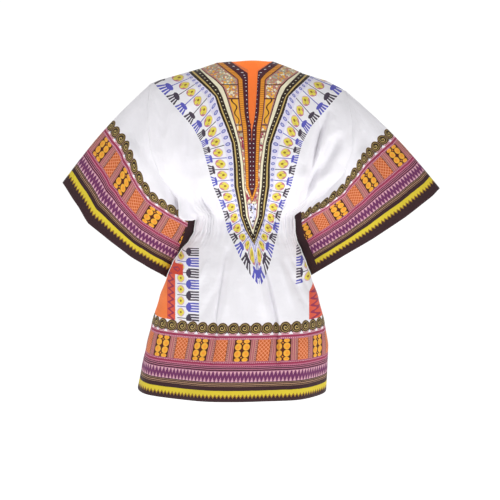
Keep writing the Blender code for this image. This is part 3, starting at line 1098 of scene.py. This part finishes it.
def printedOrnament(shade, band, inner, outer):
    # plain bands, with dots and ribs on them
    base = striped(band, ornamentInks, -1.0, 12.0)
    shade = layer(shade, lessThan(band, 6.9), base)
    shade = layer(shade, oval(repeat(inner, 10.5), away(band, 0.5), 1.2, 0.13), "white")
    ribs = lessThan(repeat(inner, 5.2), 0.7)
    shade = layer(shade, both(within(band, 1.16, 1.84), ribs), "rust")
    shade = layer(shade, oval(repeat(inner, 9.5), away(band, 4.5), 1.1, 0.14), "cream")
    # mosaic of the panels
    flecks = add("TexVoronoi", sockets={"Vector": add("TexCoord", out=3), "Scale": 230.0}, out=1)
    tint = add("SeparateColor", flecks)
    panels = within(band, 2.08, 2.9)
    for start, names in mosaics:
        stops = [(index / len(names), inks[ink]) for index, ink in enumerate(names)]
        mosaic = add("ValToRGB", tint, stops=stops)
        shade = layer(shade, both(panels, moreThan(inner, start)), mosaic)
    leaf = both(panels, within(inner, 145, 205))
    shade = layer(shade, leaf, "amber")
    wave = times(add("Math SINE", over(inner, 5.0)), 0.2)
    shade = layer(shade, both(leaf, lessThan(away(plus(band, wave), 2.5), 0.08)), "bark")
    for place in (107.0, 143.5, 206.5, 223.0):
        shade = layer(shade, both(within(band, 2, 3), within(inner, place, place + 3)), "bark")
    # drops, flowers and combs beyond the bands
    shade = layer(shade, oval(repeat(outer, 13.0), away(band, 6.45), 3.3, 0.29), "iris")
    shade = layer(shade, oval(repeat(outer, 13.0), away(band, 6.45), 1.8, 0.16), "slate")
    stem = repeat(outer, 26.0)
    flowerAway = minus(13.0, stem)
    blooms = (
        ("pale", 10.6, 0.0, 0.46),
        ("pink", 9.6, 0.1, 0.36),
        ("lemon", 9.2, -0.04, 0.26),
        ("lemon", 6.4, -0.02, 0.42),
    )
    for ink, along, shift, across in blooms:
        shade = layer(shade, oval(flowerAway, away(band, 7.5 + shift), along, across), ink)
    shade = layer(shade, oval(flowerAway, away(band, 7.40), 2.5, 0.13), "ochre")
    shade = layer(shade, both(within(band, 7.5, 7.86), within(flowerAway, 3.6, 4.8)), "rose")
    ink = combInk(outer)
    shade = layer(shade, both(within(band, 6.85, 8.35), lessThan(stem, 0.9)), ink)
    shade = layer(shade, oval(stem, away(band, 8.3), 9.6, 0.19), ink)
    fan = over(stem, plus(0.45, times(minus(band, 8.0), 0.6)))
    prongs = lessThan(repeat(plus(fan, 3.2), 6.4), 2.0)
    return layer(shade, both(prongs, within(band, 8.26, 8.98), lessThan(fan, 11.6)), ink)


# Hip strips, in millimetres across: plain orange, a squiggle, flowers, combs
def printedStrip(shade, side, u, v):
    strip = both(lessThan(side, 104.0), within(v, 176, 348))
    shade = layer(shade, both(strip, lessThan(side, 55.0), lessThan(v, 292.0)), "orange")
    shade = layer(shade, both(strip, within(side, 41, 55)), "coral")
    sway = times(add("Math SINE", over(v, 2.4)), 3.4)
    wave = lessThan(away(plus(side, sway), 48.0), 2.2)
    shade = layer(shade, both(strip, wave, within(side, 41, 55)), "wine")
    high = moreThan(v, 262.0)
    motifs = both(strip, add("Math MAXIMUM", lessThan(u, 0.0), high))
    stem = repeat(v, 26.0)
    flower = away(stem, 13.0)
    blooms = (("pale", 10.0, 9.6), ("lemon", 8.6, 5.6), ("lemon", 5.6, 8.6), ("ochre", 2.6, 2.6))
    for ink, along, across in blooms:
        shade = layer(shade, both(motifs, oval(flower, away(side, 66.0), along, across)), ink)
    ink = combInk(v)
    shade = layer(shade, both(motifs, within(side, 57, 84), lessThan(stem, 0.9)), ink)
    shade = layer(shade, both(motifs, oval(stem, away(side, 84.0), 9.0, 5.0)), ink)
    prongs = lessThan(repeat(plus(stem, 3.0), 6.0), 1.8)
    shade = layer(shade, both(motifs, prongs, within(side, 83, 103), lessThan(stem, 10.8)), ink)
    block = both(within(side, 44, 72), within(v, 280, 305), lessThan(u, 0.0))
    shade = layer(shade, block, "red")
    ring = within(plus(away(side, 58.0), away(v, 292.5)), 4.0, 7.0)
    return layer(shade, both(block, ring), "wine")


def mapped(name):  # both values of a map, in millimetres
    scaled = add("VectorMath SCALE", add("UVMap", uv_map=name), sockets={3: 1000.0})
    return add("SeparateXYZ", scaled).node.outputs


# Plain-woven cotton: matt, with a faint sheen at the edges and a soft uneven face
def cottonMaterial(name, panel):
    global tree
    material = bpy.data.materials.new(name)
    material.use_nodes = True
    tree = material.node_tree
    tree.nodes.clear()
    spot = add("TexCoord", out=3)
    drift = add("TexNoise", sockets={"Vector": spot, "Scale": 70.0, "Detail": 1.0})
    drift = times(minus(drift, 0.5), 1.4)
    parts = mapped("cloth")
    u = plus(parts[0], drift)
    v = plus(parts[1], drift)
    shade = printedBorder(u, v)
    glow = 0.0
    if panel:
        bands = add("SeparateXYZ", add("UVMap", uv_map="band")).node.outputs
        runs = mapped("rung")
        inner = times(bands[1], 1000.0)
        upper = moreThan(v, 186.0)
        shade = layer(shade, upper, printedOrnament(inks["white"], bands[0], inner, runs[0]))
        shade = layer(shade, moreThan(v, 176.4), printedStrip(shade, runs[1], u, v))
        # painted light: the orange ground behind the neck glows, standing in for daylight through the
        # single layer of thin cloth
        glow = times(lessThan(bands[0], 0.0), 0.72)
    else:
        strip = both(lessThan(mapped("side")[0], 24.0), lessThan(v, 181.0))
        shade = layer(shade, strip, "maroon")
    # ribs 9 mm apart both ways, far coarser than real threads, and soft crumples
    laid = add("UVMap", uv_map="cloth")
    weaving = {"Vector": laid, "Scale": 36.0, "Distortion": 0.6}
    threads = [add("TexWave", sockets=weaving, bands_direction=way, out=1) for way in ("X", "Y")]
    weave = plus(*threads)
    crumpling = {"Vector": laid, "Scale": 26.0, "Detail": 3.0, "Roughness": 0.45}
    crumple = add("TexNoise", sockets=crumpling)
    grain = add("Bump", sockets={"Height": weave, "Strength": 0.2, "Distance": 0.0003})
    seam = moreThan(away(parts[1], 12.0 if panel else 1.0), 0.7)
    grain = add("Bump", sockets={"Height": seam, "Strength": 0.6, "Distance": 0.0006, "Normal": grain})
    bumps = add("Bump", sockets={"Height": crumple, "Strength": 0.5, "Distance": 0.009, "Normal": grain})
    shader = add("BsdfPrincipled")
    principled = shader.node
    tree.links.new(shade, principled.inputs["Base Color"])
    tree.links.new(bumps, principled.inputs["Normal"])
    principled.inputs["Roughness"].default_value = 0.85
    principled.inputs["Sheen Weight"].default_value = 0.1
    if panel:
        # painted light: the print glows as emission where glow is set, on the orange ground behind the neck
        tree.links.new(shade, principled.inputs["Emission Color"])
        tree.links.new(glow, principled.inputs["Emission Strength"])
    output = tree.nodes.new("ShaderNodeOutputMaterial")
    tree.links.new(shader, output.inputs["Surface"])
    return material


panelCotton = cottonMaterial("printed_cotton_body", True)
sleeveCotton = cottonMaterial("printed_cotton_sleeve", False)
print("materials made")

frontPiece = makePanel("shirtFront", "front_panel", True, panelCotton)
backPiece = makePanel("shirtBack", "back_panel", False, panelCotton)
leftPiece = makeSleeve("sleeveLeftCloth", "sleeve_left", True, sleeveCotton)
rightPiece = makeSleeve("sleeveRightCloth", "sleeve_right", False, sleeveCotton)

# Pale flat floor, well below the hem, that lightens the undersides
ground = {"size": 6.0, "height": -1.15, "glow": 0.85}
floorMesh = bpy.data.meshes.new("floor")
floorGrid = bmesh.new()
bmesh.ops.create_grid(floorGrid, x_segments=2, y_segments=2, size=ground["size"])
floorGrid.to_mesh(floorMesh)
floorGrid.free()
floor = bpy.data.objects.new("floor", floorMesh)
for vert in floorMesh.vertices:
    vert.co.z = ground["height"]
bpy.context.scene.collection.objects.link(floor)
paper = bpy.data.materials.new("paper_backdrop")
paper.use_nodes = True
paperShader = paper.node_tree.nodes["Principled BSDF"]
paperShader.inputs["Base Color"].default_value = colour("#FAFAFA")
paperShader.inputs["Roughness"].default_value = 0.9
paperShader.inputs["Emission Color"].default_value = (1.0, 1.0, 1.0, 1.0)
paperShader.inputs["Emission Strength"].default_value = ground["glow"]
floorMesh.materials.append(paper)
print("floor made")
